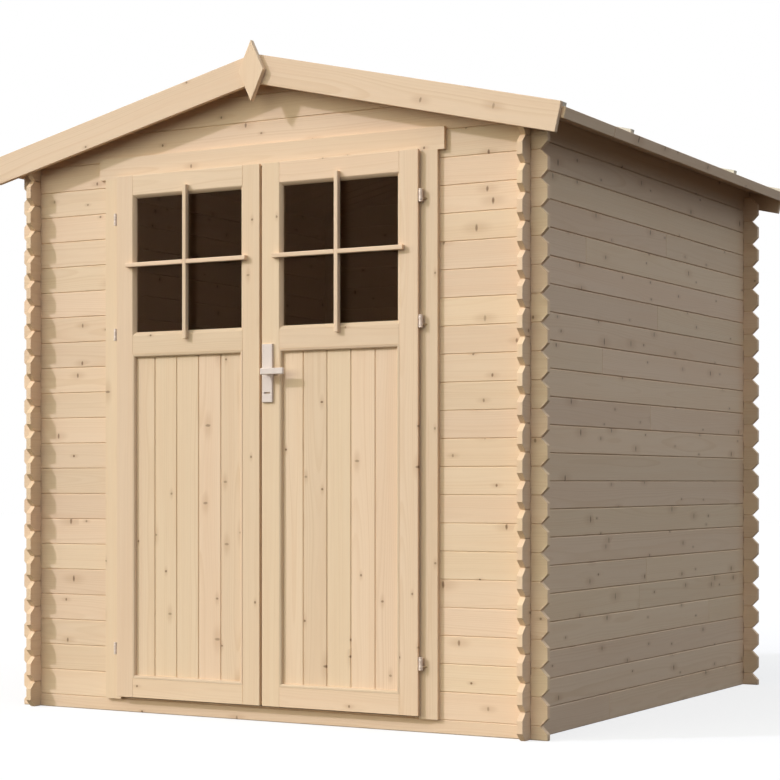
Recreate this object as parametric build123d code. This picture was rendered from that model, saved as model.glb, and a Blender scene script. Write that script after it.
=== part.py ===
from build123d import *
from math import ceil, cos, radians, sin, tan
import os

# Wooden garden shed: crossed-board walls, low gable roof, half-glazed double doors.
# Millimetres, +Z up, the front faces -Y, origin on the ground at the middle of the plan.

# Plan and boards
shed_width = 1927.0          # between the outer faces of the side walls
shed_depth = 1945.0          # between the outer faces of the front and back walls
side_wall_height = 1927.0    # to the roof's underside, at the outer face of a side wall
wall_thickness = 19.0
board_cover = 88.0           # height that one wall board covers
log_end = 57.0               # how far a board runs past the wall that it crosses
dog_ear = 24.0               # leg of the cut on each corner of a board's end

# Roof
roof_pitch = 13.2            # degrees
deck_slope_length = 1121.5   # from the ridge to the lower end of the deck and the bargeboards
deck_thickness = 19.0
eave_strip_thickness = 12.5
eave_strip_height = 34.0
batten_width = 27.0
batten_thickness = 14.0
batten_place_shares = (-0.5, -0.24, 0.24, 0.5)   # of the deck's length, less one batten
bargeboard_width = 94.0
bargeboard_thickness = 16.0
purlin_width = 45.0
purlin_height = 45.0
finial_width = 97.0
finial_height = 200.0
finial_thickness = 18.0
finial_rise = 42.0           # top of the finial over the top of the bargeboards

# Doorway
leaf_reach = 588.0           # from the middle of the doorway to the hinge edge of a leaf
leaf_gap = 6.0               # from a closed leaf to its frame
leaf_meeting_gap = 9.6       # between the two leaves
leaf_bottom_gap = 10.0
leaf_proud = 17.0            # face of a leaf in front of the jambs
leaf_thickness = 40.0
lip_lap = 5.0                # how far the lip of a leaf runs over the jamb and the header
jamb_width = 66.0
jamb_proud = 14.0            # face of a jamb in front of the wall, and its lip inside
jamb_groove = 25.0           # how deep the wall's boards sit in a jamb
head_height = 63.0
header_height = 72.0
header_overhang = 24.0       # past the outer edge of a jamb

# Door leaves
stile_width = 67.0
top_rail_height = 68.0
mid_rail_height = 66.0
bottom_rail_height = 66.0
glazed_height = 477.0
glass_thickness = 4.0
glass_setback = 15.0         # face of the glass behind the face of the leaf
panel_thickness = 18.0
panel_setback = 11.0         # face of the panel behind the face of the leaf
bead_width = 10.0            # of the mitred beads round the panel and the glass
bead_bevel = 9.0             # of the beads' inner edge
bead_setback = 1.5           # outer edge of a bead behind the face of the leaf
panel_boards = 5
panel_groove = 5.0           # depth of the V between two boards
rebate = 10.0                # how deep the panel and the glass sit in the frame
seat_clearance = 0.3         # round the panel, the glass and the hinge pins

# Hinges
knuckle_diameter = 14.0
knuckle_length = 20.0        # of one half
knuckle_gap = 0.5            # between the two halves
knuckle_clearance = 5.0      # from a knuckle to the face of its jamb
knuckle_side_gap = 1.0       # from a knuckle to the edge of its leaf
hinge_pin_diameter = 7.0
hinge_pin_clearance = 0.05
hinge_peg_diameter = 6.0
hinge_peg_length = 30.0      # from the hinge's axis into the wood
hinge_base_rise = 144.0      # from the foot of a leaf to its lowest hinge
hinge_middle_drop = 561.0    # from the top of a leaf to the middle hinge
hinge_top_drop = 166.0       # from the top of a leaf to its highest hinge
jamb_peg_angle = 45.0        # degrees from the face of the jamb
peg_sides = 8

# Handle
handle_height = 1149.0       # the lever's axis over the ground
handle_setback = 25.2        # the lever's axis from the meeting edge of its leaf
plate_width = 40.0
plate_height = 191.0
plate_thickness = 8.0
plate_above_lever = 91.0
plate_bevel = 1.5
keyhole_drop = 69.0
keyhole_length = 23.0
keyhole_height = 5.0
hub_diameter = 16.0
hub_clearance = 0.05
lever_length = 80.0          # from the lever's axis to its tip
lever_height = 21.0
lever_thickness = 12.0
lever_tail = 9.0             # past the axis, on the side away from the tip
lever_stand = 38.0           # front of the lever in front of the leaf
lever_bevel = 2.0
spindle_side = 8.0
spindle_clearance = 0.05
spindle_hole_diameter = 22.0

cut_over = 50.0              # overrun of every cut

# Worked out from the sizes above
pitch = radians(roof_pitch)
half_width = shed_width / 2
half_depth = shed_depth / 2
half_board = board_cover / 2
notch = board_cover / 4
end_reach = half_width + log_end
deck_reach = half_depth + log_end
ridge_under = side_wall_height + half_width * tan(pitch)
eave_slope_length = deck_slope_length + eave_strip_thickness
barge_rise = deck_thickness + batten_thickness
courses = int((side_wall_height - half_board) // board_cover)
gable_base = half_board + courses * board_cover

jamb_face = -half_depth - jamb_proud
jamb_back = -half_depth + wall_thickness + jamb_proud
jamb_inner = leaf_reach - lip_lap
jamb_outer = jamb_inner + jamb_width
opening_reach = jamb_outer - jamb_groove
header_reach = jamb_outer + header_overhang
header_base = gable_base - head_height

leaf_face = jamb_face - leaf_proud
leaf_back = leaf_face + leaf_thickness
leaf_base = half_board + leaf_bottom_gap
leaf_top = header_base + lip_lap
body_reach = jamb_inner - leaf_gap
body_top = header_base - leaf_gap
lip_back = jamb_face - leaf_gap
leaf_inner = leaf_meeting_gap / 2
lock_stile_edge = leaf_inner + stile_width
hinge_stile_edge = leaf_reach - stile_width
glazed_top = leaf_top - top_rail_height
glazed_base = glazed_top - glazed_height
panel_top = glazed_base - mid_rail_height
panel_base = leaf_base + bottom_rail_height
glass_face = leaf_face + glass_setback
glass_back = glass_face + glass_thickness
panel_face = leaf_face + panel_setback
panel_back = panel_face + panel_thickness

knuckle_radius = knuckle_diameter / 2
hinge_x = leaf_reach + knuckle_side_gap + knuckle_radius
hinge_y = jamb_face - knuckle_clearance - knuckle_radius
hinge_heights = (leaf_base + hinge_base_rise, leaf_top - hinge_middle_drop, leaf_top - hinge_top_drop)

handle_x = leaf_inner + handle_setback
plate_top = handle_height + plate_above_lever


def block(x_low, x_high, y_low, y_high, z_low, z_high):
    # Box between two corners.
    middle = Pos((x_low + x_high) / 2, (y_low + y_high) / 2, (z_low + z_high) / 2)
    return middle * Box(x_high - x_low, y_high - y_low, z_high - z_low)


def across(outline, y_low, y_high):
    # Closed X-Z outline run from one Y to another.
    face = make_face(Polyline(*[(x, 0, z) for x, z in outline], close=True))
    return Pos(0, y_low, 0) * extrude(face, amount=y_high - y_low, dir=(0, 1, 0))


def along(outline, x_low, x_high):
    # Closed Y-Z outline run from one X to another.
    face = make_face(Polyline(*[(0, y, z) for y, z in outline], close=True))
    return Pos(x_low, 0, 0) * extrude(face, amount=x_high - x_low, dir=(1, 0, 0))


def upright(outline, z_low, z_high):
    # Closed X-Y outline run from one Z to another.
    face = make_face(Polyline(*[(x, y, 0) for x, y in outline], close=True))
    return Pos(0, 0, z_low) * extrude(face, amount=z_high - z_low, dir=(0, 0, 1))


def rod(start, direction, radius, length):
    # Round bar from a point along a direction.
    return Plane(origin=start, z_dir=direction) * Cylinder(
        radius, length, align=(Align.CENTER, Align.CENTER, Align.MIN)
    )


def stud(start, direction, radius, length):
    # Many-sided bar from a point along a direction.
    return Plane(origin=start, z_dir=direction) * extrude(RegularPolygon(radius, peg_sides), amount=length)


def mirrored(shape, plane):
    # Each solid of a piece, turned to the other side of a plane.
    return Compound([solid.mirror(plane) for solid in shape.solids()])


def save(name, shape):
    export_step(shape, f"parts/{name}.step")


def roof_point(run, rise):
    # X and Z of a point down the right-hand slope and over the deck's underside.
    return run * cos(pitch) + rise * sin(pitch), ridge_under - run * sin(pitch) + rise * cos(pitch)


def slope_outline(length, rise_low, rise_high):
    # Right-hand section of a roof layer, cut plumb at the ridge and square at the eave.
    return [
        (0, ridge_under + rise_low / cos(pitch)),
        (0, ridge_under + rise_high / cos(pitch)),
        roof_point(length, rise_high),
        roof_point(length, rise_low),
    ]


def above_roof():
    # Everything over the deck's underside, to trim the walls with.
    far = end_reach + log_end
    eave_z = ridge_under - far * tan(pitch)
    top = ridge_under + far
    outline = [(-far, eave_z), (0, ridge_under), (far, eave_z), (far, top), (-far, top)]
    return across(outline, -deck_reach - cut_over, deck_reach + cut_over)


def board_joints(first, top):
    # Heights of the joints between boards.
    count = ceil((top - first) / board_cover)
    return [first + index * board_cover for index in range(count)]


def end_profile(reach, joints, base, top):
    # Board ends on one side, from the base up: each joint is a V between two dog-eared ends.
    points = []
    for joint in joints:
        if joint - dog_ear > base:
            points.append((reach, joint - dog_ear))
        points.append((reach - dog_ear, joint))
        if joint + dog_ear < top:
            points.append((reach, joint + dog_ear))
    if joints[0] > base:
        points.insert(0, (reach, base))
    points.append((reach, top))
    return points


def crossing_bands():
    # Heights that a front or back board fills where it crosses a side wall.
    bands = [(0, notch)]
    for index in range(courses):
        low = (index + 1) * board_cover - notch
        if low + half_board < gable_base:
            bands.append((low, low + half_board))
    return bands


def band_gaps(top):
    # Heights between those bands, which the side walls' boards fill.
    bands = crossing_bands()
    lows = [high for low, high in bands]
    highs = [low for low, high in bands[1:]] + [top]
    return list(zip(lows, highs))


def side_wall():
    # Right-hand wall of full boards, with slots for the boards that cross it.
    top = ridge_under
    ends = end_profile(deck_reach, board_joints(0, top), 0, top)
    outline = ends + [(-y, z) for y, z in reversed(ends)]
    inner = half_width - wall_thickness
    wall = along(outline, inner, half_width)
    slots = [
        block(inner, half_width, face, face + wall_thickness, low, high)
        for low, high in crossing_bands()
        for face in (-half_depth, half_depth - wall_thickness)
    ]
    return wall - slots - above_roof()


def end_wall():
    # Front wall before its doorway is cut: half a board at the bottom, a gable on top.
    joints = board_joints(half_board, gable_base + half_board)
    ends = end_profile(end_reach, joints[:-1], 0, gable_base)
    outline = ends + [(-x, z) for x, z in reversed(ends)]
    inner = -half_depth + wall_thickness
    wall = across(outline, -half_depth, inner)
    slots = [
        block(face, face + wall_thickness, -half_depth, inner, low, high)
        for low, high in band_gaps(gable_base)
        for face in (-half_width, half_width - wall_thickness)
    ]
    return wall - slots - above_roof()


def gable():
    # Boards over the log ends: they fit between the side walls and under the roof.
    reach = half_width - wall_thickness
    boards = block(
        -reach, reach, -half_depth, -half_depth + wall_thickness, gable_base, ridge_under + log_end
    )
    return boards - above_roof() - purlin()


def purlin():
    # Ridge beam under the deck, from bargeboard to bargeboard, its top cut to both slopes.
    reach = purlin_width / 2
    shoulder = ridge_under - reach * tan(pitch)
    base = ridge_under - purlin_height
    outline = [(-reach, base), (reach, base), (reach, shoulder), (0, ridge_under), (-reach, shoulder)]
    return across(outline, -deck_reach, deck_reach)


def front_pieces():
    # The starter board runs under the doors, and the wall is parted beside the doorway.
    wall = end_wall()
    y_low = -half_depth - cut_over
    y_high = -half_depth + wall_thickness + cut_over
    far = end_reach + cut_over
    starter = wall & block(-far, far, y_low, y_high, 0, half_board)
    left = wall & block(-far, -opening_reach, y_low, y_high, half_board, gable_base)
    right = wall & block(opening_reach, far, y_low, y_high, half_board, gable_base)
    return starter, left, right


def back_wall():
    # The whole end wall with its gable, turned to the back.
    return mirrored(end_wall() + gable(), Plane.XZ)


def deck():
    # Boards of one slope.
    return across(slope_outline(deck_slope_length, 0, deck_thickness), -deck_reach, deck_reach)


def eave_strip():
    # Strip on the lower edge of the deck, between the bargeboards.
    base = deck_thickness - eave_strip_height
    outline = [
        roof_point(deck_slope_length, base),
        roof_point(deck_slope_length, deck_thickness),
        roof_point(eave_slope_length, deck_thickness),
        roof_point(eave_slope_length, base),
    ]
    return across(outline, -deck_reach, deck_reach)


def battens():
    # Strips that run down one slope.
    outline = slope_outline(deck_slope_length, deck_thickness, barge_rise)
    span = 2 * deck_reach - batten_width
    strips = []
    for share in batten_place_shares:
        middle = span * share
        strips.append(across(outline, middle - batten_width / 2, middle + batten_width / 2))
    return Compound(strips)


def bargeboard():
    # Front board of the right-hand slope.
    outline = slope_outline(deck_slope_length, barge_rise - bargeboard_width, barge_rise)
    return across(outline, -deck_reach - bargeboard_thickness, -deck_reach)


def finial():
    # Lozenge over the joint of the two bargeboards.
    top = ridge_under + barge_rise / cos(pitch) + finial_rise
    middle = top - finial_height / 2
    reach = finial_width / 2
    outline = [(0, top), (reach, middle), (0, top - finial_height), (-reach, middle)]
    back = -deck_reach - bargeboard_thickness
    return across(outline, back - finial_thickness, back)


def jamb():
    # Right-hand door post, grooved over the ends of the wall's boards.
    post = block(jamb_inner, jamb_outer, jamb_face, jamb_back, half_board, header_base)
    post -= block(
        opening_reach, jamb_outer + cut_over,
        -half_depth, -half_depth + wall_thickness,
        half_board, header_base,
    )
    for height in hinge_heights:
        post -= jamb_peg(height, seat_clearance)
    return post


def door_head():
    # Top of the door frame, in the thickness of the wall.
    return block(-opening_reach, opening_reach, -half_depth, jamb_back, header_base, gable_base)


def door_header():
    # Board across the top of the doors, on the face of the wall.
    return block(
        -header_reach, header_reach, jamb_face, -half_depth, header_base, header_base + header_height
    )


def frame_grooves():
    # Room for the panel and the glass in the edges of the leaf's frame.
    panel_room = block(
        lock_stile_edge - rebate, hinge_stile_edge + rebate,
        panel_face - seat_clearance, panel_back + seat_clearance,
        panel_base - rebate, panel_top + rebate,
    )
    glass_room = block(
        lock_stile_edge - rebate, hinge_stile_edge + rebate,
        glass_face - seat_clearance, glass_back + seat_clearance,
        glazed_base - rebate, glazed_top + rebate,
    )
    return panel_room + glass_room


def lip_rebate():
    # Room behind the lip of the right-hand leaf, for the jamb and the header.
    far = leaf_reach + cut_over
    top = leaf_top + cut_over
    beside = block(body_reach, far, lip_back, leaf_back + cut_over, leaf_base - cut_over, top)
    over = block(0, far, lip_back, leaf_back + cut_over, body_top, top)
    return beside + over


def leaf_stiles():
    # Uprights of the right-hand leaf.
    cuts = [frame_grooves(), lip_rebate()]
    lock = block(leaf_inner, lock_stile_edge, leaf_face, leaf_back, leaf_base, leaf_top) - cuts
    hung = block(hinge_stile_edge, leaf_reach, leaf_face, leaf_back, leaf_base, leaf_top) - cuts
    for height in hinge_heights:
        hung -= leaf_peg(height + knuckle_length + knuckle_gap, seat_clearance)
    return lock, hung


def leaf_rails():
    # Cross pieces of the right-hand leaf.
    cuts = [frame_grooves(), lip_rebate()]
    rails = []
    for low, high in ((leaf_base, panel_base), (panel_top, glazed_base), (glazed_top, leaf_top)):
        rails.append(block(lock_stile_edge, hinge_stile_edge, leaf_face, leaf_back, low, high) - cuts)
    return Compound(rails)


def leaf_beads():
    # Mitred beads in the two openings of the right-hand leaf, before the panel and the glass.
    front = leaf_face + bead_setback
    rings = []
    for back, low, high in ((panel_face, panel_base, panel_top), (glass_face, glazed_base, glazed_top)):
        ring = block(lock_stile_edge, hinge_stile_edge, front, back, low, high)
        ring -= block(
            lock_stile_edge + bead_width, hinge_stile_edge - bead_width,
            front, back,
            low + bead_width, high - bead_width,
        )
        inner_edges = ring.faces().sort_by(Axis.Y)[0].inner_wires()[0].edges()
        rings.append(chamfer(inner_edges, bead_bevel))
    return Compound(rings)


def leaf_panel():
    # Upright boards with a V at each joint.
    tongue = rebate - seat_clearance
    left = lock_stile_edge
    panel = block(
        left - tongue, hinge_stile_edge + tongue,
        panel_face, panel_back,
        panel_base - tongue, panel_top + tongue,
    )
    board = (hinge_stile_edge - left) / panel_boards
    for index in range(1, panel_boards):
        joint = left + index * board
        groove = [
            (joint - panel_groove, panel_face),
            (joint + panel_groove, panel_face),
            (joint, panel_face + panel_groove),
        ]
        panel -= upright(groove, panel_base - rebate, panel_top + rebate)
    return panel


def leaf_glass():
    tongue = rebate - seat_clearance
    return block(
        lock_stile_edge - tongue, hinge_stile_edge + tongue,
        glass_face, glass_back,
        glazed_base - tongue, glazed_top + tongue,
    )


def jamb_peg(height, extra):
    # Peg from the hinge's axis into the jamb.
    lean = radians(jamb_peg_angle)
    start = (hinge_x, hinge_y, height + knuckle_length / 2)
    return stud(start, (cos(lean), sin(lean), 0), hinge_peg_diameter / 2 + extra, hinge_peg_length + extra)


def leaf_peg(height, extra):
    # Peg from the hinge's axis into the lip of the leaf.
    start = (hinge_x, hinge_y, height + knuckle_length / 2)
    return stud(start, (-1, 0, 0), hinge_peg_diameter / 2 + extra, hinge_peg_length + extra)


def knuckle(height):
    return rod((hinge_x, hinge_y, height), (0, 0, 1), knuckle_radius, knuckle_length)


def jamb_hinges():
    # Lower halves on the right-hand jamb, each with the pin that the leaf turns on.
    halves = []
    for height in hinge_heights:
        pin = rod((hinge_x, hinge_y, height), (0, 0, 1), hinge_pin_diameter / 2,
                  2 * knuckle_length - knuckle_radius)
        halves.append(knuckle(height) + jamb_peg(height, 0) + pin)
    return Compound(halves)


def leaf_hinges():
    # Upper halves on the right-hand leaf, bored for the pins.
    bore = hinge_pin_diameter / 2 + hinge_pin_clearance
    halves = []
    for height in hinge_heights:
        low = height + knuckle_length + knuckle_gap
        hole = rod((hinge_x, hinge_y, low), (0, 0, 1), bore, knuckle_length - knuckle_radius + knuckle_gap)
        halves.append(knuckle(low) + leaf_peg(low, 0) - hole)
    return Compound(halves)


def handle_plate():
    # Long plate on the face of the right-hand leaf.
    plate = block(
        handle_x - plate_width / 2, handle_x + plate_width / 2,
        leaf_face - plate_thickness, leaf_face,
        plate_top - plate_height, plate_top,
    )
    front = plate.faces().sort_by(Axis.Y)[0]
    plate = chamfer(front.edges(), plate_bevel)
    plate -= rod((handle_x, leaf_face, handle_height), (0, -1, 0),
                 hub_diameter / 2 + hub_clearance, plate_thickness)
    keyhole = handle_height - keyhole_drop
    return plate - block(
        handle_x - keyhole_length / 2, handle_x + keyhole_length / 2,
        leaf_face - plate_thickness, leaf_face,
        keyhole - keyhole_height / 2, keyhole + keyhole_height / 2,
    )


def lever():
    # Outer lever: a round hub through the plate and a flat grip that points to the hinges.
    front = leaf_face - lever_stand
    grip = block(
        handle_x - lever_tail, handle_x + lever_length,
        front, front + lever_thickness,
        handle_height - lever_height / 2, handle_height + lever_height / 2,
    )
    grip = chamfer(grip.edges(), lever_bevel)
    hub = rod((handle_x, leaf_face, handle_height), (0, -1, 0), hub_diameter / 2,
              lever_stand - lever_thickness / 2)
    return grip + hub


def spindle(extra):
    # Square bar from lever to lever.
    reach = spindle_side / 2 + extra
    return block(
        handle_x - reach, handle_x + reach,
        leaf_face - lever_stand / 2, leaf_back + lever_stand / 2,
        handle_height - reach, handle_height + reach,
    )


def to_inside(shape):
    # Turn a piece from the outer face of a leaf to its inner face.
    return mirrored(shape, Plane.XZ.offset(-(leaf_face + leaf_back) / 2))


os.makedirs("parts", exist_ok=True)

front_sill, front_wall_left, front_wall_right = front_pieces()
save("front_sill", front_sill)
save("front_wall_left", front_wall_left)
save("front_wall_right", front_wall_right)
save("front_gable", gable())
save("back_wall", back_wall())
save("ridge_purlin", purlin())
save("door_head", door_head())
save("door_header", door_header())

# Pieces made on the right and mirrored to the left
lock_stile, hinge_stile = leaf_stiles()
spindle_hole = rod((handle_x, leaf_face, handle_height), (0, 1, 0), spindle_hole_diameter / 2, leaf_thickness)
paired = {
    "wall": side_wall(),
    "roof": deck(),
    "eave_strip": eave_strip(),
    "roof_battens": battens(),
    "front_bargeboard": bargeboard(),
    "back_bargeboard": mirrored(bargeboard(), Plane.XZ),
    "jamb": jamb(),
    "jamb_hinges": jamb_hinges(),
    "door_rails": leaf_rails(),
    "door_panel": leaf_panel(),
    "door_glass": leaf_glass(),
    "door_beads": leaf_beads(),
    "door_hinges": leaf_hinges(),
}
for name, shape in paired.items():
    save(f"right_{name}", shape)
    save(f"left_{name}", mirrored(shape, Plane.YZ))
save("left_door_stiles", mirrored(Compound([lock_stile, hinge_stile]), Plane.YZ))
save("right_door_stiles", Compound([lock_stile - spindle_hole, hinge_stile]))

save("front_finial", finial())
save("back_finial", mirrored(finial(), Plane.XZ))

outer_lever = lever()
save("outer_handle_plate", handle_plate())
save("inner_handle_plate", to_inside(handle_plate()))
save("outer_lever", outer_lever - spindle(spindle_clearance))
save("inner_lever", to_inside(outer_lever) - spindle(spindle_clearance))
save("lever_spindle", spindle(0))
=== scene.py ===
import random
from math import cos, pi, radians, sin

import bmesh
import bpy
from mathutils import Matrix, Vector


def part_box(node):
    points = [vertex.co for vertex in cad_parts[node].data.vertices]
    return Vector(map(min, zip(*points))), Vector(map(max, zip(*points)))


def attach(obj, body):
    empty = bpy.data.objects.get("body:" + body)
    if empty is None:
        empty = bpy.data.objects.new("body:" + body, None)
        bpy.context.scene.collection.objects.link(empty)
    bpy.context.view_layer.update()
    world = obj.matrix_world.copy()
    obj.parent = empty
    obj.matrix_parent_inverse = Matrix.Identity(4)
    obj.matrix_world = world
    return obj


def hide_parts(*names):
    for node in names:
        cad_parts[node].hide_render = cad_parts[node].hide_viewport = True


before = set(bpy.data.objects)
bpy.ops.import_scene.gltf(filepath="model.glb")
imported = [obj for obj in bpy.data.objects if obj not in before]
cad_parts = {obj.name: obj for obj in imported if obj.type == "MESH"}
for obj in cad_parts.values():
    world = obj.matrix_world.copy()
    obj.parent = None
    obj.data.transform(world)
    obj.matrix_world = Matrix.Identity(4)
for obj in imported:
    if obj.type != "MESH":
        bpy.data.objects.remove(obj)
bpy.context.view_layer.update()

dice = random.Random(88)
weld = 0.00002               # points closer than this are one point
print("frame loaded:", len(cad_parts), "solids")


# hand tools: selecting, sawing, easing

def clearSelection():
    if bpy.context.object and bpy.context.object.mode != "OBJECT":
        bpy.ops.object.mode_set(mode="OBJECT")
    bpy.ops.object.select_all(action="DESELECT")


def takeUp(piece):
    clearSelection()
    piece.select_set(True)
    bpy.context.view_layer.objects.active = piece


def openPiece(piece):
    takeUp(piece)
    bpy.ops.object.mode_set(mode="EDIT")
    bpy.ops.mesh.select_mode(type="FACE")
    bpy.ops.mesh.select_all(action="SELECT")


def closePiece():
    bpy.ops.object.mode_set(mode="OBJECT")


def pickFaces(piece, test):
    bpy.ops.mesh.select_all(action="DESELECT")
    bpy.ops.mesh.select_mode(type="FACE")
    net = bmesh.from_edit_mesh(piece.data)
    for face in net.faces:
        face.select_set(test(face))
    bmesh.update_edit_mesh(piece.data)


def pickEdges(piece, test):
    bpy.ops.mesh.select_all(action="DESELECT")
    bpy.ops.mesh.select_mode(type="EDGE")
    net = bmesh.from_edit_mesh(piece.data)
    for edge in net.edges:
        edge.select_set(test(edge.verts[0].co, edge.verts[1].co))
    bmesh.update_edit_mesh(piece.data)


def near(a, b):
    return abs(a - b) < weld


def onLine(a, b, first, second, lines):
    # whether both ends of an edge lie on one of the lines that cross the two axes there
    return any(all(near(end[first], x) and near(end[second], y) for end in (a, b)) for x, y in lines)


def axisPoint(axis, value):
    point = [0.0, 0.0, 0.0]
    point[axis] = value
    return point


def addBlock(name, low, high):
    clearSelection()
    middle = [(a + b) / 2 for a, b in zip(low, high)]
    bpy.ops.mesh.primitive_cube_add(size=1, location=middle)
    piece = bpy.context.object
    piece.name = name
    piece.scale = [b - a for a, b in zip(low, high)]
    bpy.ops.object.transform_apply(location=True, rotation=True, scale=True)
    return piece


def sawOff(piece, point, normal):
    # keeps what lies behind the plane
    openPiece(piece)
    bpy.ops.mesh.bisect(plane_co=point, plane_no=normal, use_fill=True, clear_outer=True)
    closePiece()


def cutAway(piece, blocks):
    cutter = joinPieces(blocks, "cutter")
    takeUp(piece)
    cut = piece.modifiers.new("cut", "BOOLEAN")
    cut.operation = "DIFFERENCE"
    cut.solver = "EXACT"
    cut.object = cutter
    bpy.ops.object.modifier_apply(modifier=cut.name)
    bpy.data.objects.remove(cutter)


def joinPieces(pieces, name):
    clearSelection()
    for piece in pieces:
        piece.select_set(True)
    bpy.context.view_layer.objects.active = pieces[0]
    if len(pieces) > 1:
        bpy.ops.object.join()
    whole = bpy.context.object
    whole.name = name
    whole.data.name = name
    return whole


def copyPiece(piece, shift):
    takeUp(piece)
    bpy.ops.object.duplicate(linked=False)
    twin = bpy.context.object
    bpy.ops.transform.translate(value=shift)
    bpy.ops.object.transform_apply(location=True, rotation=True, scale=True)
    return twin


def looseParts(node, ending):
    # merged copies of a node's solids, each an object of its own
    piece = bpy.data.objects.new(node + ending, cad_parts[node].data.copy())
    bpy.context.scene.collection.objects.link(piece)
    openPiece(piece)
    bpy.ops.mesh.remove_doubles(threshold=weld)
    bpy.ops.mesh.dissolve_limited(angle_limit=radians(1))
    bpy.ops.mesh.separate(type="LOOSE")
    closePiece()
    return list(bpy.context.selected_objects)


def soften(piece, width, angle):
    takeUp(piece)
    bevel = piece.modifiers.new("soften", "BEVEL")
    bevel.width = width
    bevel.segments = 2
    bevel.limit_method = "ANGLE"
    bevel.angle_limit = radians(angle)
    bpy.ops.object.modifier_apply(modifier=bevel.name)


def stampGrain(piece, run, width):
    # each board carries its own lengthwise grain, its draw of the dice and its sawn ends
    mesh = piece.data
    runLine = Vector(run).normalized()
    widthLine = Vector(width).normalized()
    deepLine = runLine.cross(widthLine)
    places = [(v.co.dot(runLine), v.co.dot(widthLine), v.co.dot(deepLine)) for v in mesh.vertices]
    middle = [(min(p[i] for p in places) + max(p[i] for p in places)) / 2 for i in range(3)]
    flat = [p[i] - middle[i] for p in places for i in range(3)]
    grain = mesh.attributes.new("grain", "FLOAT_VECTOR", "POINT")
    grain.data.foreach_set("vector", flat)
    board = mesh.attributes.new("board", "FLOAT", "POINT")
    board.data.foreach_set("value", [dice.random()] * len(places))
    sawn = mesh.attributes.new("sawnEnd", "FLOAT", "FACE")
    sawn.data.foreach_set("value", [float(abs(f.normal.dot(runLine)) > 0.6) for f in mesh.polygons])
    return piece


def finishPiece(pieces, name, body, slot, material, *nodes):
    piece = joinPieces(pieces, name)
    piece.data.materials.clear()
    piece.data.materials.append(material)
    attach(piece, body)
    if nodes:
        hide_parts(*nodes)
    return piece


# finishes

def feed(tree, socket, value):
    if isinstance(value, bpy.types.NodeSocket):
        tree.links.new(value, socket)
    else:
        socket.default_value = value


def calc(tree, operation, *values):
    node = tree.nodes.new("ShaderNodeMath")
    node.operation = operation
    for socket, value in zip(node.inputs, values):
        feed(tree, socket, value)
    return node.outputs[0]


def vector(tree, x, y, z):
    node = tree.nodes.new("ShaderNodeCombineXYZ")
    for socket, value in zip(node.inputs, (x, y, z)):
        feed(tree, socket, value)
    return node.outputs[0]


def noise(tree, place, scale, detail):
    node = tree.nodes.new("ShaderNodeTexNoise")
    feed(tree, node.inputs["Vector"], place)
    node.inputs["Scale"].default_value = scale
    node.inputs["Detail"].default_value = detail
    return node.outputs["Fac"]


def ease(tree, value, low, high):
    node = tree.nodes.new("ShaderNodeMapRange")
    node.interpolation_type = "SMOOTHSTEP"
    feed(tree, node.inputs["Value"], value)
    feed(tree, node.inputs["From Min"], low)
    feed(tree, node.inputs["From Max"], high)
    return node.outputs["Result"]


def blendColour(tree, amount, a, b, kind="MIX"):
    node = tree.nodes.new("ShaderNodeMix")
    node.data_type = "RGBA"
    node.blend_type = kind
    feed(tree, node.inputs["Factor"], amount)
    feed(tree, node.inputs[6], a)      # the colour sockets of a Mix node
    feed(tree, node.inputs[7], b)
    return node.outputs[2]


def newGroup(name, inputs, outputs):
    group = bpy.data.node_groups.new(name, "ShaderNodeTree")
    for label, kind in inputs:
        group.interface.new_socket(name=label, in_out="INPUT", socket_type=kind)
    for label, kind in outputs:
        group.interface.new_socket(name=label, in_out="OUTPUT", socket_type=kind)
    return group, group.nodes.new("NodeGroupInput").outputs, group.nodes.new("NodeGroupOutput").inputs


spruce = {
    "ringGap": 0.0044,                        # between two growth rings
    "pithSpread": 0.11,                       # where the log's heart may lie, sideways
    "pithNearest": 0.012,                     # and how far behind the board
    "pithDepth": 0.085,
    "sway": 0.035,                            # how far the heart wanders
    "sag": 0.05,
    "early": (0.79, 0.607, 0.425, 1),         # pale spring wood
    "late": (0.66, 0.455, 0.265, 1),          # summer line
    "lateShare": 0.42,
    "warm": (0.755, 0.55, 0.365, 1),          # pinkish patches
    "rosy": (1.015, 0.985, 0.995, 1),         # boards lean to one or the other
    "straw": (0.995, 0.995, 0.965, 1),
    "endGrain": (1.03, 1.01, 0.98, 1),        # sawn ends are a little paler
    "knotHeart": (0.20, 0.105, 0.05, 1),
    "knotHalo": (0.54, 0.35, 0.205, 1),
    "haloShare": 0.4,
    "knotAlong": 0.24,                        # one knot in each such stretch
    "knotAcross": 0.075,
    "knotLeast": 0.0042,                      # size of the smallest, and what the largest has more
    "knotMore": 0.0095,
    "relief": 0.0006,
}


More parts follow.
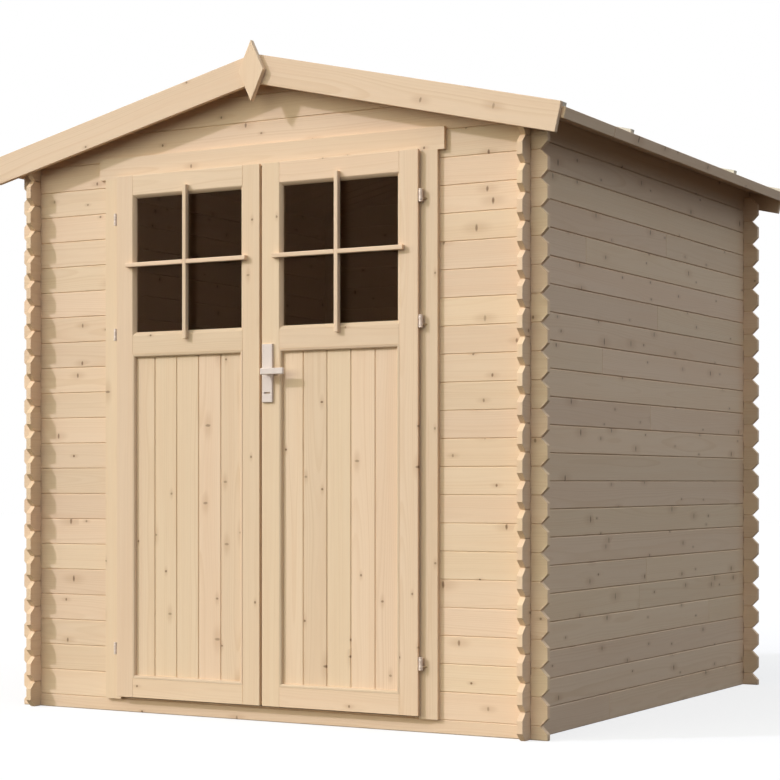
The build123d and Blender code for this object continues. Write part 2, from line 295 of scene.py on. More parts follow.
def makeSpruceFigure():
    group, given, out = newGroup(
        "spruceFigure",
        [("Grain", "NodeSocketVector"), ("Board", "NodeSocketFloat"), ("Sawn End", "NodeSocketFloat"),
         ("Knots", "NodeSocketFloat")],
        [("Color", "NodeSocketColor"), ("Roughness", "NodeSocketFloat"), ("Height", "NodeSocketFloat")],
    )

    def times(a, b):
        return calc(group, "MULTIPLY", a, b)

    def timesPlus(a, b, c):
        return calc(group, "MULTIPLY_ADD", a, b, c)

    def minus(a, b):
        return calc(group, "SUBTRACT", a, b)

    def distance(a, b):
        return calc(group, "SQRT", calc(group, "ADD", times(a, a), times(b, b)))

    def cloud(x, y, z, scale, detail):
        return noise(group, vector(group, x, y, z), scale, detail)

    def fade(value, low, high):
        return minus(1.0, ease(group, value, low, high))

    def tinted(colour, tint):
        return blendColour(group, 1.0, colour, tint, "MULTIPLY")

    split = group.nodes.new("ShaderNodeSeparateXYZ")
    group.links.new(given["Grain"], split.inputs[0])
    run, side, deep = split.outputs
    board = given["Board"]
    drawA, drawB, drawC = [calc(group, "FRACT", times(board, spread)) for spread in (13.37, 71.31, 211.7)]
    away = timesPlus(board, 53.7, run)

    # growth rings round a heart that lies behind the board and wanders along it
    sway = minus(cloud(away, times(side, 4), drawA, 0.7, 2), 0.5)
    sag = minus(cloud(away, times(deep, 4), drawB, 0.9, 2), 0.5)
    heartSide = times(minus(drawA, 0.5), spruce["pithSpread"])
    heartDeep = timesPlus(drawB, spruce["pithDepth"], spruce["pithNearest"])
    offSide = timesPlus(sway, spruce["sway"], minus(side, heartSide))
    offDeep = timesPlus(sag, spruce["sag"], calc(group, "ADD", deep, heartDeep))
    rings = calc(group, "DIVIDE", distance(offSide, offDeep), spruce["ringGap"])
    turn = calc(group, "FRACT", rings)
    line = times(ease(group, turn, 0.3, 0.86), fade(turn, 0.88, 1.0))
    strength = cloud(calc(group, "FLOOR", rings), drawC, times(away, 0.6), 0.83, 1)
    line = times(line, ease(group, strength, 0.25, 0.75))

    # fibres and broad streaks run with the board
    fibre = cloud(times(away, 12), times(side, 480), times(deep, 480), 1.0, 3)
    streak = cloud(times(away, 1.7), timesPlus(side, 46, drawB), times(deep, 46), 1.0, 3)
    patch = cloud(times(away, 1.1), times(side, 9), drawC, 1.0, 2)

    # knots, one to a cell, some cells bare
    cellRun = calc(group, "DIVIDE", away, spruce["knotAlong"])
    cellSide = timesPlus(drawC, 7.0, calc(group, "DIVIDE", side, spruce["knotAcross"]))
    cell = group.nodes.new("ShaderNodeTexVoronoi")
    cell.voronoi_dimensions = "2D"
    cell.inputs["Scale"].default_value = 1.0
    cell.inputs["Randomness"].default_value = 0.95
    group.links.new(vector(group, cellRun, cellSide, 0.0), cell.inputs["Vector"])
    heart = group.nodes.new("ShaderNodeSeparateXYZ")
    group.links.new(cell.outputs["Position"], heart.inputs[0])
    pick = group.nodes.new("ShaderNodeSeparateColor")
    group.links.new(cell.outputs["Color"], pick.inputs[0])
    big, seldom, dark = pick.outputs
    farRun = times(minus(cellRun, heart.outputs[0]), spruce["knotAlong"])
    farSide = times(minus(cellSide, heart.outputs[1]), spruce["knotAcross"])
    size = timesPlus(calc(group, "POWER", big, 2.2), spruce["knotMore"], spruce["knotLeast"])
    spike = timesPlus(calc(group, "POWER", big, 1.5), 1.7, 0.8)      # the large ones lie across the board
    knotty = times(given["Knots"], timesPlus(drawB, 1.3, 0.2))
    shown = times(calc(group, "LESS_THAN", seldom, knotty), minus(1.0, given["Sawn End"]))
    wobble = times(cloud(times(away, 90), times(side, 90), drawA, 1.0, 2), 0.5)
    dotReach = times(distance(times(farRun, spike), farSide), calc(group, "ADD", wobble, 0.75))
    dot = times(fade(dotReach, times(size, 0.4), times(size, 1.15)), shown)
    haloReach = distance(times(farRun, 0.4), farSide)
    halo = times(fade(haloReach, times(size, 0.3), times(size, 2.2)), shown)

    colour = blendColour(group, times(line, spruce["lateShare"]), spruce["early"], spruce["late"])
    for mask, low, high, share in ((streak, 0.45, 0.78, 0.55), (patch, 0.4, 0.75, 0.45)):
        colour = blendColour(group, times(ease(group, mask, low, high), share), colour, spruce["warm"])
    colour = blendColour(group, times(halo, spruce["haloShare"]), colour, spruce["knotHalo"])
    colour = blendColour(group, times(dot, timesPlus(dark, 0.48, 0.5)), colour, spruce["knotHeart"])
    colour = tinted(colour, blendColour(group, drawA, spruce["rosy"], spruce["straw"]))
    shade = timesPlus(drawC, 0.1, 0.955)
    shade = timesPlus(fibre, 0.08, minus(shade, 0.04))
    colour = tinted(colour, vector(group, shade, shade, shade))
    colour = blendColour(group, given["Sawn End"], colour, tinted(colour, spruce["endGrain"]))
    group.links.new(colour, out["Color"])
    rough = timesPlus(fibre, 0.2, 0.5)
    group.links.new(minus(rough, times(dot, 0.15)), out["Roughness"])
    height = timesPlus(line, 0.5, fibre)
    group.links.new(timesPlus(dot, 0.6, height), out["Height"])
    return group


def attribute(tree, name):
    node = tree.nodes.new("ShaderNodeAttribute")
    node.attribute_name = name
    return node.outputs


spruceFigure = makeSpruceFigure()


def makeSpruce(name, knots=0.0, tint=(1, 1, 1, 1), gloss=0.32, relief=0.3):
    material = bpy.data.materials.new(name)
    material.use_nodes = True
    tree = material.node_tree
    shader = tree.nodes["Principled BSDF"]
    figure = tree.nodes.new("ShaderNodeGroup")
    figure.node_tree = spruceFigure
    tree.links.new(attribute(tree, "grain")["Vector"], figure.inputs["Grain"])
    tree.links.new(attribute(tree, "board")["Fac"], figure.inputs["Board"])
    tree.links.new(attribute(tree, "sawnEnd")["Fac"], figure.inputs["Sawn End"])
    figure.inputs["Knots"].default_value = knots
    colour = blendColour(tree, 1.0, figure.outputs["Color"], tint, "MULTIPLY")
    tree.links.new(colour, shader.inputs["Base Color"])
    tree.links.new(figure.outputs["Roughness"], shader.inputs["Roughness"])
    shader.inputs["Specular IOR Level"].default_value = gloss
    bump = tree.nodes.new("ShaderNodeBump")
    bump.inputs["Strength"].default_value = relief
    bump.inputs["Distance"].default_value = spruce["relief"]
    tree.links.new(figure.outputs["Height"], bump.inputs["Height"])
    tree.links.new(bump.outputs["Normal"], shader.inputs["Normal"])
    return material


wallSpruce = makeSpruce("wallSpruce", knots=0.75, gloss=0.3, relief=0.35)
roofSpruce = makeSpruce("roofSpruce", knots=0.5, gloss=0.3, relief=0.35)
doorSpruce = makeSpruce("doorSpruce", knots=0.55)
trimSpruce = makeSpruce("trimSpruce")
# the beads are tinted to nine tenths: painted shade that darkens their recessed slopes and dulls their lit
# ones
beadSpruce = makeSpruce("beadSpruce", tint=(0.9, 0.9, 0.9, 1), gloss=0.25)
battenSpruce = makeSpruce("battenSpruce", tint=(0.84, 1.06, 1.3, 1))
print("spruce finishes made")


# wall boards: tongued, with V edges, notched where two walls cross

wallBoards = {
    "cover": 0.088,
    "thickness": 0.019,
    "dogEar": 0.024,
    "notch": 0.022,
    "play": 0.0018,          # a notch is this much too wide, on its outer side
    "slit": 0.0003,          # open gap in front of the tongue
    "sideSlit": 0.0013,      # wider in the side walls
    "vEdge": 0.0024,
    "tongueThick": 0.006,
    "tongueTall": 0.004,
    "over": 0.01,            # overrun of cuts
    "spliced": 0.5,          # share of the side boards made of two lengths
    "splice": 0.0018,        # V where the two lengths meet
    "spliceReach": 0.6,      # of the way from the middle to the corner
}


def tongueBoard(name, low, high, run, width, cut, ears=(), vFaces=(0, 1)):
    thick = 3 - run - width
    top = list(high)
    top[width] -= cut["slit"]
    board = addBlock(name, low, top)
    openPiece(board)
    middle = (low[thick] + high[thick]) / 2
    for side in (-1, 1):
        place = axisPoint(thick, middle + side * cut["tongueThick"] / 2)
        bpy.ops.mesh.select_all(action="SELECT")
        bpy.ops.mesh.bisect(plane_co=place, plane_no=axisPoint(thick, 1.0))
    runEnds = (low[run], top[run])
    sides = (low[width], top[width])
    faces = (low[thick], top[thick])
    if ears:
        corners = [(runEnds[end], sides[side]) for end, side in ears]
        pickEdges(board, lambda a, b: onLine(a, b, run, width, corners))
        bpy.ops.mesh.bevel(offset=cut["dogEar"], segments=1, affect="EDGES")
    rims = [(faces[face], side) for face in vFaces for side in sides]
    pickEdges(board, lambda a, b: onLine(a, b, thick, width, rims))
    bpy.ops.mesh.bevel(offset=cut["vEdge"], segments=1, affect="EDGES")
    for side, level, depth in ((1, top[width], cut["tongueTall"]),
                               (-1, low[width], cut["tongueTall"] + cut["slit"])):
        pickFaces(board, lambda f: f.normal[width] * side > 0.99
                  and near(f.calc_center_median()[width], level)
                  and abs(f.calc_center_median()[thick] - middle) < cut["tongueThick"] / 4)
        bpy.ops.mesh.extrude_region_move(TRANSFORM_OT_translate={"value": axisPoint(width, depth)})
    closePiece()
    return board


def crossing(low, high, run, places, base, top, cut):
    # blocks that notch a board, above and below, where another wall crosses it
    blocks = []
    for place in places:
        for floor, roof in ((base - cut["over"], base + cut["notch"]),
                            (top - cut["notch"], top + cut["over"])):
            lowCut, highCut = list(low), list(high)
            lowCut[run], highCut[run] = place, place + cut["thickness"]
            if place < 0:
                lowCut[run] -= cut["play"]
            else:
                highCut[run] += cut["play"]
            other = 1 - run
            lowCut[other] -= cut["over"]
            highCut[other] += cut["over"]
            lowCut[2], highCut[2] = floor, roof
            blocks.append(addBlock("notch", lowCut, highCut))
    return blocks


pitch = radians(13.2)
deckThick = 0.019
wallLow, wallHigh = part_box("right_wall")
sillLow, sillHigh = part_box("front_sill")
halfWide, halfDeep = wallHigh.x, -sillLow.y
endReach, deckReach = sillHigh.x, wallHigh.y
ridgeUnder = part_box("right_roof")[1].z - deckThick / cos(pitch)
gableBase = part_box("front_gable")[0].z
thick = wallBoards["thickness"]
cover = wallBoards["cover"]
roofUp = {1: (sin(pitch), 0, cos(pitch)), -1: (-sin(pitch), 0, cos(pitch))}
allEars = ((0, 0), (0, 1), (1, 0), (1, 1))


def splice(board, place, faces):
    # two lengths end to end, with a small V where they meet
    rest = copyPiece(board, (0, 0, 0))
    sawOff(board, (0, place, 0), (0, 1, 0))
    sawOff(rest, (0, place, 0), (0, -1, 0))
    for part in (board, rest):
        openPiece(part)
        pickEdges(part, lambda a, b: near(a.y, place) and near(b.y, place) and near(a.x, b.x)
                  and any(near(a.x, face) for face in faces))
        bpy.ops.mesh.bevel(offset=wallBoards["splice"], segments=1, affect="EDGES")
        closePiece()
    return [board, rest]


def sideWall(side):
    inner = halfWide - thick
    cut = dict(wallBoards, slit=wallBoards["sideSlit"])
    low = [min(side * inner, side * halfWide), -deckReach, 0.0]
    high = [max(side * inner, side * halfWide), deckReach, cover]
    first = tongueBoard("sideBoard", low, high, 1, 2, cut, allEars)
    last = copyPiece(first, (0, 0, 0))
    places = (-halfDeep, halfDeep - thick)
    cutAway(first, crossing(low, high, 1, places, 0.0, cover, cut))
    cuts = crossing(low, high, 1, places, 0.0, cover, cut)
    for block in cuts[1::2]:
        bpy.data.objects.remove(block)
    cutAway(last, cuts[0::2])
    boards = []
    count = int(wallHigh.z // cover)
    for course in range(count + 1):
        board = copyPiece(last if course == count else first, (0, 0, course * cover))
        if course >= count - 1:
            sawOff(board, (0, 0, ridgeUnder), roofUp[side])
        lengths = [board]
        if dice.random() < wallBoards["spliced"]:
            place = dice.uniform(-wallBoards["spliceReach"], wallBoards["spliceReach"]) * halfDeep
            lengths = splice(board, place, (low[0], high[0]))
        boards += [stampGrain(length, (0, 1, 0), (0, 0, 1)) for length in lengths]
    bpy.data.objects.remove(first)
    bpy.data.objects.remove(last)
    return boards


for side, label in ((1, "right"), (-1, "left")):
    finishPiece(sideWall(side), label + "WallBoards", "shed", "wall_wood", wallSpruce, label + "_wall")
print("side walls boarded")


def endCourses(name, xLow, xHigh, yLow, ears, places):
    # full courses of a front or back wall, from the starter board up to the gable
    low = [xLow, yLow, cover / 2]
    high = [xHigh, yLow + thick, cover * 1.5]
    first = tongueBoard(name, low, high, 0, 2, wallBoards, ears)
    cutAway(first, crossing(low, high, 0, places, low[2], high[2], wallBoards))
    boards = []
    for course in range(round((gableBase - cover / 2) / cover)):
        board = copyPiece(first, (0, 0, course * cover))
        boards.append(stampGrain(board, (1, 0, 0), (0, 0, 1)))
    bpy.data.objects.remove(first)
    return boards


def starterBoard(yLow):
    # half a board on the ground, notched on top only
    low = [-endReach, yLow, 0.0]
    high = [endReach, yLow + thick, cover / 2]
    board = tongueBoard("starter", low, high, 0, 2, wallBoards, ((0, 1), (1, 1)))
    cuts = crossing(low, high, 0, (-halfWide, halfWide - thick), 0.0, high[2], wallBoards)
    for block in cuts[0::2]:
        bpy.data.objects.remove(block)
    cutAway(board, cuts[1::2])
    return stampGrain(board, (1, 0, 0), (0, 0, 1))


purlinLow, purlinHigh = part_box("ridge_purlin")


def gableBoards(yLow):
    # three boards between the side walls, cut to the roof and let in round the ridge beam
    reach = halfWide - thick
    boards = []
    for course in range(3):
        base = gableBase + course * cover
        low, high = [-reach, yLow, base], [reach, yLow + thick, base + cover]
        board = tongueBoard("gableBoard", low, high, 0, 2, wallBoards)
        for side in (1, -1):
            sawOff(board, (0, 0, ridgeUnder), roofUp[side])
        if base + cover > purlinLow.z:
            cutAway(board, [addBlock("beam", (purlinLow.x, yLow - thick, purlinLow.z),
                                     (purlinHigh.x, yLow + 2 * thick, purlinHigh.z + cover))])
        boards.append(stampGrain(board, (1, 0, 0), (0, 0, 1)))
    return boards


frontLow = -halfDeep
backLow = halfDeep - thick
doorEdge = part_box("front_wall_right")[0].x
finishPiece([starterBoard(frontLow)], "frontStarterBoard", "shed", "wall_wood", wallSpruce, "front_sill")
finishPiece(endCourses("frontBoard", doorEdge, endReach, frontLow, ((1, 0), (1, 1)), (halfWide - thick,)),
            "frontBoardsRight", "shed", "wall_wood", wallSpruce, "front_wall_right")
finishPiece(endCourses("frontBoard", -endReach, -doorEdge, frontLow, ((0, 0), (0, 1)), (-halfWide,)),
            "frontBoardsLeft", "shed", "wall_wood", wallSpruce, "front_wall_left")
finishPiece(gableBoards(frontLow), "frontGableBoards", "shed", "wall_wood", wallSpruce, "front_gable")
backBoards = [starterBoard(backLow)]
backBoards += endCourses("backBoard", -endReach, endReach, backLow, allEars, (-halfWide, halfWide - thick))
backBoards += gableBoards(backLow)
finishPiece(backBoards, "backWallBoards", "shed", "wall_wood", wallSpruce, "back_wall")
print("front and back walls boarded")


# roof: boards from ridge to eave, V joints on the underside

deckBoards = {
    "count": 23,
    "slit": 0.001,
    "vEdge": 0.003,
    "tongueThick": 0.006,
    "tongueTall": 0.004,
    "ridgeOver": 0.012,      # sawn off plumb at the ridge
}


def deckSlope(side):
    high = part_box("right_roof")[1]
    length = (high.x - deckThick * sin(pitch)) / cos(pitch)
    wide = 2 * deckReach / deckBoards["count"]
    first = tongueBoard("deckBoard", [-deckBoards["ridgeOver"], -deckReach, 0.0],
                        [length, -deckReach + wide, deckThick], 0, 1, deckBoards, (), (0,))
    first.rotation_euler = (0, pitch, 0 if side > 0 else pi)
    first.location = (0, 0, ridgeUnder)
    takeUp(first)
    bpy.ops.object.transform_apply(location=True, rotation=True, scale=True)
    sawOff(first, (0, 0, 0), (-side, 0, 0))
    boards = []
    for index in range(deckBoards["count"]):
        board = copyPiece(first, (0, side * index * wide, 0))
        boards.append(stampGrain(board, (cos(pitch) * side, 0, -sin(pitch)), (0, 1, 0)))
    bpy.data.objects.remove(first)
    return boards


finishPiece(deckSlope(1), "rightDeckBoards", "shed", "roof_wood", roofSpruce, "right_roof")
finishPiece(deckSlope(-1), "leftDeckBoards", "shed", "roof_wood", roofSpruce, "left_roof")
print("roof boarded")


# planed timbers with eased edges

easing = {"roof": 0.0015, "frame": 0.0005, "leaf": 0.0016, "angle": 40}
eaveJoint = {"place": -0.65, "gap": 0.003}      # an eave strip is nailed up in two lengths


def buttJoint(strip, joint):
    rest = copyPiece(strip, (0, 0, 0))
    sawOff(strip, (0, joint["place"], 0), (0, 1, 0))
    sawOff(rest, (0, joint["place"] + joint["gap"], 0), (0, -1, 0))
    return [strip, rest]


def easedTimbers(node, width, run, across, joint=None):
    # each stick gets softened arrises and its own grain
    sticks = looseParts(node, "Eased")
    if joint:
        sticks = [part for stick in sticks for part in buttJoint(stick, joint)]
    for stick in sticks:
        soften(stick, width, easing["angle"])
        stampGrain(stick, run, across)
    return sticks


slopeRun = {"right": (cos(pitch), 0, -sin(pitch)), "left": (-cos(pitch), 0, -sin(pitch))}
for label in ("right", "left"):
    run = slopeRun[label]
    upSlope = (sin(pitch) if label == "right" else -sin(pitch), 0, cos(pitch))
    for end in ("front", "back"):
        node = label + "_" + end + "_bargeboard"
        finishPiece(easedTimbers(node, easing["roof"], run, upSlope), label + end.title() + "Bargeboard",
                    "shed", "roof_wood", roofSpruce, node)
    finishPiece(easedTimbers(label + "_roof_battens", easing["roof"], run, (0, 1, 0)), label + "Battens",
                "shed", "roof_wood", battenSpruce, label + "_roof_battens")
    finishPiece(easedTimbers(label + "_eave_strip", easing["roof"], (0, 1, 0), upSlope, eaveJoint),
                label + "EaveStrip", "shed", "roof_wood", roofSpruce, label + "_eave_strip")
    finishPiece(easedTimbers(label + "_jamb", easing["frame"], (0, 0, 1), (1, 0, 0)), label + "Jamb",
                "shed", "door_wood", doorSpruce, label + "_jamb")
for end in ("front", "back"):
    finishPiece(easedTimbers(end + "_finial", easing["roof"], (0, 0, 1), (1, 0, 0)), end + "Finial",
                "shed", "roof_wood", trimSpruce, end + "_finial")
finishPiece(easedTimbers("ridge_purlin", easing["roof"], (0, 1, 0), (0, 0, 1)), "ridgeBeam",
            "shed", "roof_wood", roofSpruce, "ridge_purlin")
finishPiece(easedTimbers("door_header", easing["frame"], (1, 0, 0), (0, 0, 1)), "doorHeader",
            "shed", "door_wood", doorSpruce, "door_header")
finishPiece(easedTimbers("door_head", easing["frame"], (1, 0, 0), (0, 0, 1)), "doorHead",
            "shed", "door_wood", doorSpruce, "door_head")
print("roof trim and door frame eased")


# door leaves

leafParts = {
    "panelBoards": 5,
    "panelShift": -0.003,    # of the joints, off the even share
    "tuckedIn": 0.0097,      # panel and glass sit this deep in the frame
    "slit": 0.0005,
    "vEdge": 0.0028,
    "tongueThick": 0.006,
    "tongueTall": 0.004,
    "barWidth": 0.015,
    "barDepth": 0.016,
    "barLap": 0.019,         # past the opening, on the face of the frame
    "barChamfer": 0.0025,
}


def panelBoards(label):
    low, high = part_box(label + "_door_panel")
    count, tuck = leafParts["panelBoards"], leafParts["tuckedIn"]
    wide = (high.x - low.x - 2 * tuck) / count
    joints = [low.x + tuck + index * wide + leafParts["panelShift"] for index in range(count + 1)]
    joints[0], joints[-1] = low.x, high.x + leafParts["slit"]
    boards = []
    for left, right in zip(joints, joints[1:]):
        board = tongueBoard("panelBoard", [left, low.y, low.z], [right, high.y, high.z], 2, 0, leafParts)
        boards.append(stampGrain(board, (0, 0, 1), (1, 0, 0)))
    sawOff(boards[-1], high, (1, 0, 0))
    return boards


def openings(label):
    # the panel's and the glass's openings in a leaf, read from its beads
    low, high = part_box(label + "_door_beads")
    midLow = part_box(label + "_door_glass")[0].z + leafParts["tuckedIn"]
    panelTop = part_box(label + "_door_panel")[1].z - leafParts["tuckedIn"]
    return ((low, Vector((high.x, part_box(label + "_door_panel")[0].y, panelTop))),
            (Vector((low.x, low.y, midLow)), Vector((high.x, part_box(label + "_door_glass")[0].y, high.z))))


panelBead = {"width": 0.01, "bevel": 0.0088, "steps": 3, "bulge": 0.6, "proud": 0.0022}
glassBead = {"width": 0.01, "bevel": 0.009, "steps": 4, "bulge": 0.3, "proud": 0.0}


def beadRing(low, high, moulding):
    # four mitred beads in one opening, sloped towards the panel or the pane
    wide = moulding["width"]
    low = low - Vector((0, moulding["proud"], 0))
    beads = []
    for across, side in ((0, 0), (0, 1), (2, 0), (2, 1)):
        along = 2 - across
        blockLow, blockHigh = list(low), list(high)
        if side:
            blockLow[across] = high[across] - wide
        else:
            blockHigh[across] = low[across] + wide
        inner = blockLow[across] if side else blockHigh[across]
        bead = addBlock("bead", blockLow, blockHigh)
        openPiece(bead)
        pickEdges(bead, lambda a, b: all(near(p[1], low[1]) and near(p[across], inner) for p in (a, b)))
        bpy.ops.mesh.bevel(offset=moulding["bevel"], segments=moulding["steps"], profile=moulding["bulge"],
                           affect="EDGES")
        closePiece()
        outward = 1 if side else -1
        for end, corner in ((-1, low[along]), (1, high[along])):
            point, normal = list(low), [0.0, 0.0, 0.0]
            point[across] = high[across] if side else low[across]
            point[along] = corner
            normal[along] = end
            normal[across] = -outward
            sawOff(bead, point, normal)
        beads.append(stampGrain(bead, axisPoint(along, 1.0), axisPoint(across, 1.0)))
    return beads


def glazingBars(label):
    # upright bar in front, two short bars butted to it, laid on the face of the leaf
    low, high = openings(label)[1]
    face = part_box(label + "_door_stiles")[0].y
    half, lap = leafParts["barWidth"] / 2, leafParts["barLap"]
    midX, midZ = (low.x + high.x) / 2, (low.z + high.z) / 2
    front = face - leafParts["barDepth"]
    ends = (((midX - half, low.z - lap), (midX + half, high.z + lap), 2),
            ((low.x - lap, midZ - half), (midX - half, midZ + half), 0),
            ((midX + half, midZ - half), (high.x + lap, midZ + half), 0))
    bars = []
    for (xLow, zLow), (xHigh, zHigh), run in ends:
        bar = addBlock("bar", (xLow, front, zLow), (xHigh, face, zHigh))
        openPiece(bar)
        pickEdges(bar, lambda a, b: near(a.y, front) and near(b.y, front) and not near(a[run], b[run]))
        bpy.ops.mesh.bevel(offset=leafParts["barChamfer"], segments=2, affect="EDGES")
        closePiece()
        line, wide = ((0, 0, 1), (1, 0, 0)) if run == 2 else ((1, 0, 0), (0, 0, 1))
        bars.append(stampGrain(bar, line, wide))
    return bars


for label in ("left", "right"):
    body = label + "_door"
    finishPiece(panelBoards(label), label + "DoorPanel", body, "door_wood", doorSpruce, body + "_panel")
    finishPiece(easedTimbers(body + "_stiles", easing["leaf"], (0, 0, 1), (1, 0, 0)), label + "DoorStiles",
                body, "door_wood", doorSpruce, body + "_stiles")
    finishPiece(easedTimbers(body + "_rails", easing["leaf"], (1, 0, 0), (0, 0, 1)), label + "DoorRails",
                body, "door_wood", doorSpruce, body + "_rails")
    rings = []
    for (low, high), moulding in zip(openings(label), (panelBead, glassBead)):
        rings += beadRing(low, high, moulding)
    finishPiece(rings, label + "DoorBeads", body, "door_wood", beadSpruce, body + "_beads")
    finishPiece(glazingBars(label), label + "GlazingBars", body, "door_wood", trimSpruce)
print("door leaves made")


# glass and handle stay as solids and get their finishes

def surfaceFilm():
    # faint smears and brush lines on smooth surfaces
    group, given, out = newGroup("surfaceFilm", [("Place", "NodeSocketVector"), ("Scale", "NodeSocketFloat")],
                                 [("Mask", "NodeSocketFloat")])
    node = group.nodes.new("ShaderNodeTexNoise")
    node.inputs["Detail"].default_value = 4
    group.links.new(given["Place"], node.inputs["Vector"])
    group.links.new(given["Scale"], node.inputs["Scale"])
    group.links.new(node.outputs["Fac"], out["Mask"])
    return group


film = surfaceFilm()


def makeSmooth(name, finish):
    material = bpy.data.materials.new(name)
    material.use_nodes = True
    tree = material.node_tree
    shader = tree.nodes["Principled BSDF"]
    place = tree.nodes.new("ShaderNodeTexCoord").outputs["Object"]
    mapping = tree.nodes.new("ShaderNodeMapping")
    mapping.inputs["Scale"].default_value = finish["stretch"]
    tree.links.new(place, mapping.inputs["Vector"])
    smear = tree.nodes.new("ShaderNodeGroup")
    smear.node_tree = film
    smear.inputs["Scale"].default_value = finish["scale"]
    tree.links.new(mapping.outputs[0], smear.inputs["Place"])
    low, high = finish["roughness"]
    rough = calc(tree, "MULTIPLY_ADD", smear.outputs["Mask"], high - low, low)
    tree.links.new(rough, shader.inputs["Roughness"])
    colour = blendColour(tree, smear.outputs["Mask"], finish["colourA"], finish["colourB"])
    tree.links.new(colour, shader.inputs["Base Color"])
    shader.inputs["Metallic"].default_value = finish["metallic"]
    shader.inputs["Transmission Weight"].default_value = finish["clear"]
    shader.inputs["IOR"].default_value = finish["ior"]
    shader.inputs["Specular IOR Level"].default_value = finish["gloss"]
    shader.inputs["Specular Tint"].default_value = finish["sheen"]
    return material


# the panes' brown colour is painted shade: it stands in for the dark, shaded inside of the shed seen through
# the glass
windowGlass = makeSmooth("windowGlass", {
    "colourA": (0.5, 0.43, 0.37, 1), "colourB": (0.58, 0.5, 0.44, 1), "sheen": (1.0, 0.6, 0.4, 1),
    "metallic": 0, "clear": 1, "ior": 1.14, "gloss": 0.5,
    "roughness": (0.0, 0.03), "stretch": (1, 1, 1), "scale": 9})
brightZinc = makeSmooth("brightZinc", {
    "colourA": (0.66, 0.53, 0.45, 1), "colourB": (0.78, 0.65, 0.56, 1), "sheen": (1, 1, 1, 1),
    "metallic": 0.2, "clear": 0, "ior": 1.45, "gloss": 0.4,
    "roughness": (0.48, 0.65), "stretch": (1, 1, 3), "scale": 160})
# the pegs' dark brown is partly yellow-chromated steel and partly painted shade, so they sink into the
# barrel's shadow on the jamb
screwZinc = makeSmooth("screwZinc", {
    "colourA": (0.36, 0.26, 0.15, 1), "colourB": (0.5, 0.37, 0.22, 1), "sheen": (1, 1, 1, 1),
    "metallic": 0.6, "clear": 0, "ior": 1.45, "gloss": 0.4,
    "roughness": (0.4, 0.6), "stretch": (1, 1, 1), "scale": 300})
satinHandle = makeSmooth("satinHandle", {
    "colourA": (0.73, 0.625, 0.565, 1), "colourB": (0.77, 0.66, 0.6, 1), "sheen": (1, 1, 1, 1),
    "metallic": 0, "clear": 0, "ior": 1.45, "gloss": 0.5,
    "roughness": (0.3, 0.5), "stretch": (1, 1, 1), "scale": 220})
finishes = {
    windowGlass: ["left_door_glass", "right_door_glass"],
    brightZinc: ["lever_spindle"],
    satinHandle: ["outer_handle_plate", "inner_handle_plate", "outer_lever", "inner_lever"],
}
for material, nodes in finishes.items():
    for node in nodes:
        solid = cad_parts[node].data
        solid.materials.clear()
        solid.materials.append(material)
print("glass and metal finished")


hinge = {
    "radius": 0.007,
    "easing": 0.0012,
    "collar": 0.0036,        # from the end of a knuckle to its turned groove
    "groove": 0.0011,
    "sunk": 0.0007,
    "slack": 0.0002,         # a point this close to the radius is on the barrel
    "screwOff": 0.0003,      # a face this far off the barrel is the screw's
    "easingAngle": 50,
    "smoothAngle": 35,
}


def hingeHalves(node, axisX, axisY):
    # the halves get eased ends and a turned groove near each end of the knuckle
    def offAxis(point):
        return ((point.x - axisX) ** 2 + (point.y - axisY) ** 2) ** 0.5

    def onBarrel(point):
        return abs(offAxis(point) - hinge["radius"]) < hinge["slack"]

    halves = looseParts(node, "Turned")
    for half in halves:
        rim = [v.co.z for v in half.data.vertices if onBarrel(v.co)]
        for base in (min(rim) + hinge["collar"], max(rim) - hinge["collar"] - hinge["groove"]):
            openPiece(half)
            for level in (base, base + hinge["groove"]):
                bpy.ops.mesh.select_all(action="SELECT")
                bpy.ops.mesh.bisect(plane_co=(0, 0, level), plane_no=(0, 0, 1))
            pickFaces(half, lambda f: base < f.calc_center_median().z < base + hinge["groove"]
                      and abs(f.normal.z) < 0.1 and onBarrel(f.verts[0].co))
            bpy.ops.mesh.extrude_region_shrink_fatten(
                TRANSFORM_OT_shrink_fatten={"value": -hinge["sunk"]})
            closePiece()
        soften(half, hinge["easing"], hinge["easingAngle"])
    return halves, offAxis


for label, side in (("left", -1), ("right", 1)):
    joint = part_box(label + "_jamb_hinges")
    axisX = joint[0].x + hinge["radius"] if side > 0 else joint[1].x - hinge["radius"]
    axisY = joint[0].y + hinge["radius"]
    for kind, body in (("jamb", "shed"), ("door", label + "_door")):
        node = label + "_" + kind + "_hinges"
        halves, offAxis = hingeHalves(node, axisX, axisY)
        piece = finishPiece(halves, label + kind.title() + "Hinges", body, "hinge_metal", brightZinc, node)
        piece.data.materials.append(screwZinc)
        for face in piece.data.polygons:
            face.material_index = int(offAxis(face.center) > hinge["radius"] + hinge["screwOff"])
        takeUp(piece)
        bpy.ops.object.shade_smooth_by_angle(angle=radians(hinge["smoothAngle"]))
print("hinges turned")


# studio: pale floor, low sun from the front left, camera as in the photo

studio = {
    "floorSize": 60,
    "floorDrop": 0.0005,
    "floorPale": (0.3, 0.3, 0.3, 1),         # as the camera sees it, with its glow
    "floorGlow": 0.72,
    "floorDull": (0.055, 0.045, 0.04, 1),    # what it throws back on the walls
    "floorApron": (0.22, 0.2, 0.17, 1),      # and close before the doors
    "apronDepth": 0.6,
    "sunFrom": (-1.18, -1.0, 0.9),
    "sunPower": 1.68,
    "sunWidth": 3,
    "sunColour": (0.83, 0.82, 1.0),
    "fillFrom": (-0.74, -1.0, 0.3),          # broad warm light on the front
    "fillPower": 2.9,
    "fillWidth": 90,
    "fillColour": (1.0, 0.98, 0.76),
    "topFrom": (0.65, 0.0, 1.0),             # broad cool light from above
    "topPower": 1.07,
    "topWidth": 100,
    "topColour": (0.93, 1.0, 1.1),
    "skyColour": (0.93, 1.0, 1.1, 1),
    "skyPower": 0.2,
}

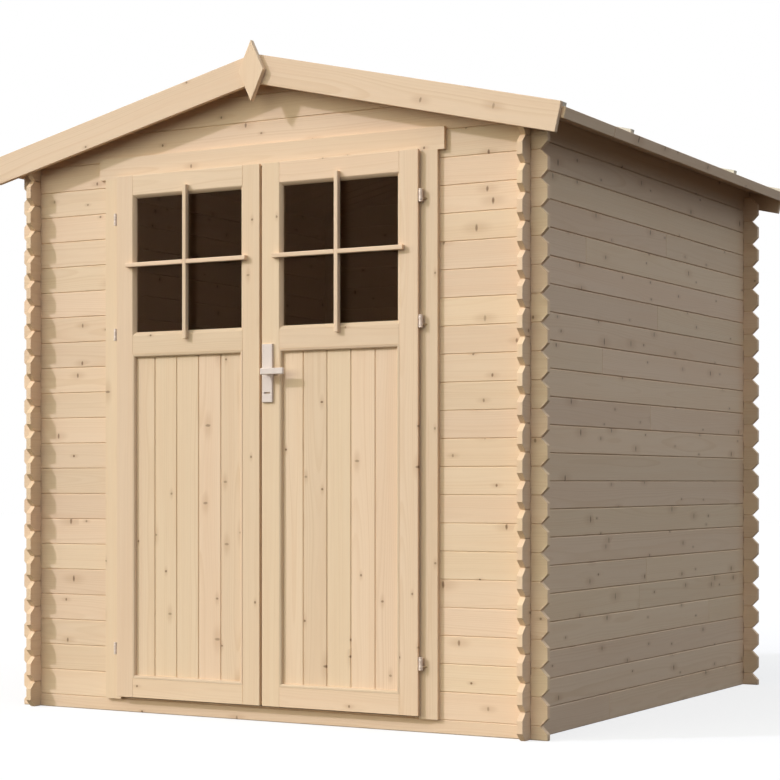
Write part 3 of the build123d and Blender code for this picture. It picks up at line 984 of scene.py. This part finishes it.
clearSelection()
bpy.ops.mesh.primitive_plane_add(size=studio["floorSize"], location=(0, 0, -studio["floorDrop"]))
floor = bpy.context.object
floor.name = "floor"
floorPaint = bpy.data.materials.new("floorPaint")
floorPaint.use_nodes = True
tree = floorPaint.node_tree
shader = tree.nodes["Principled BSDF"]
shader.inputs["Roughness"].default_value = 0.9
shader.inputs["Specular IOR Level"].default_value = 0.0
shader.inputs["Emission Color"].default_value = (1, 1, 1, 1)
path = tree.nodes.new("ShaderNodeLightPath")
seen = calc(tree, "MAXIMUM", path.outputs["Is Camera Ray"], path.outputs["Is Transmission Ray"])
spot = tree.nodes.new("ShaderNodeSeparateXYZ")
tree.links.new(tree.nodes.new("ShaderNodeTexCoord").outputs["Object"], spot.inputs[0])
outX = calc(tree, "GREATER_THAN", calc(tree, "ABSOLUTE", spot.outputs[0]), halfWide - thick / 2)
outY = calc(tree, "GREATER_THAN", calc(tree, "ABSOLUTE", spot.outputs[1]), halfDeep - thick / 2)
outside = calc(tree, "MAXIMUM", outX, outY)
apronHalf = studio["apronDepth"] / 2
before = calc(tree, "COMPARE", spot.outputs[1], -halfDeep - apronHalf, apronHalf)
dull = blendColour(tree, before, studio["floorDull"], studio["floorApron"])
tone = blendColour(tree, seen, dull, studio["floorPale"])
tree.links.new(tone, shader.inputs["Base Color"])
glow = calc(tree, "MULTIPLY", calc(tree, "MULTIPLY", seen, outside), studio["floorGlow"])
tree.links.new(glow, shader.inputs["Emission Strength"])
floor.data.materials.append(floorPaint)

sky = bpy.data.worlds.new("studioSky")
bpy.context.scene.world = sky
sky.use_nodes = True
tree = sky.node_tree
plain = tree.nodes["Background"]
plain.inputs["Color"].default_value = studio["skyColour"]
plain.inputs["Strength"].default_value = studio["skyPower"]
white = tree.nodes.new("ShaderNodeBackground")
white.inputs["Color"].default_value = (1, 1, 1, 1)
white.inputs["Strength"].default_value = 1
path = tree.nodes.new("ShaderNodeLightPath")
seen = calc(tree, "MAXIMUM", path.outputs["Is Camera Ray"], path.outputs["Is Glossy Ray"])
seen = calc(tree, "MAXIMUM", seen, path.outputs["Is Transmission Ray"])
both = tree.nodes.new("ShaderNodeMixShader")
tree.links.new(seen, both.inputs[0])
tree.links.new(plain.outputs[0], both.inputs[1])
tree.links.new(white.outputs[0], both.inputs[2])
tree.links.new(both.outputs[0], tree.nodes["World Output"].inputs["Surface"])

for name in ("sun", "fill", "top"):
    lamp = bpy.data.lights.new(name, "SUN")
    lamp.energy = studio[name + "Power"]
    lamp.angle = radians(studio[name + "Width"])
    lamp.color = studio[name + "Colour"]
    light = bpy.data.objects.new(name, lamp)
    light.rotation_euler = Vector(studio[name + "From"]).to_track_quat("Z", "Y").to_euler()
    bpy.context.scene.collection.objects.link(light)

view = {"place": (3.5768, -6.4615, 0.7877), "yaw": 29.507, "lens": 91.6, "lift": 0.1183}
lens = bpy.data.cameras.new("camera")
lens.sensor_width = 36
lens.lens = view["lens"]
lens.shift_y = view["lift"]
lens.clip_end = 200
camera = bpy.data.objects.new("camera", lens)
camera.location = view["place"]
camera.rotation_euler = (pi / 2, 0, radians(view["yaw"]))
bpy.context.scene.collection.objects.link(camera)
bpy.context.scene.camera = camera
bpy.context.scene.view_settings.view_transform = "Standard"
print("studio set")
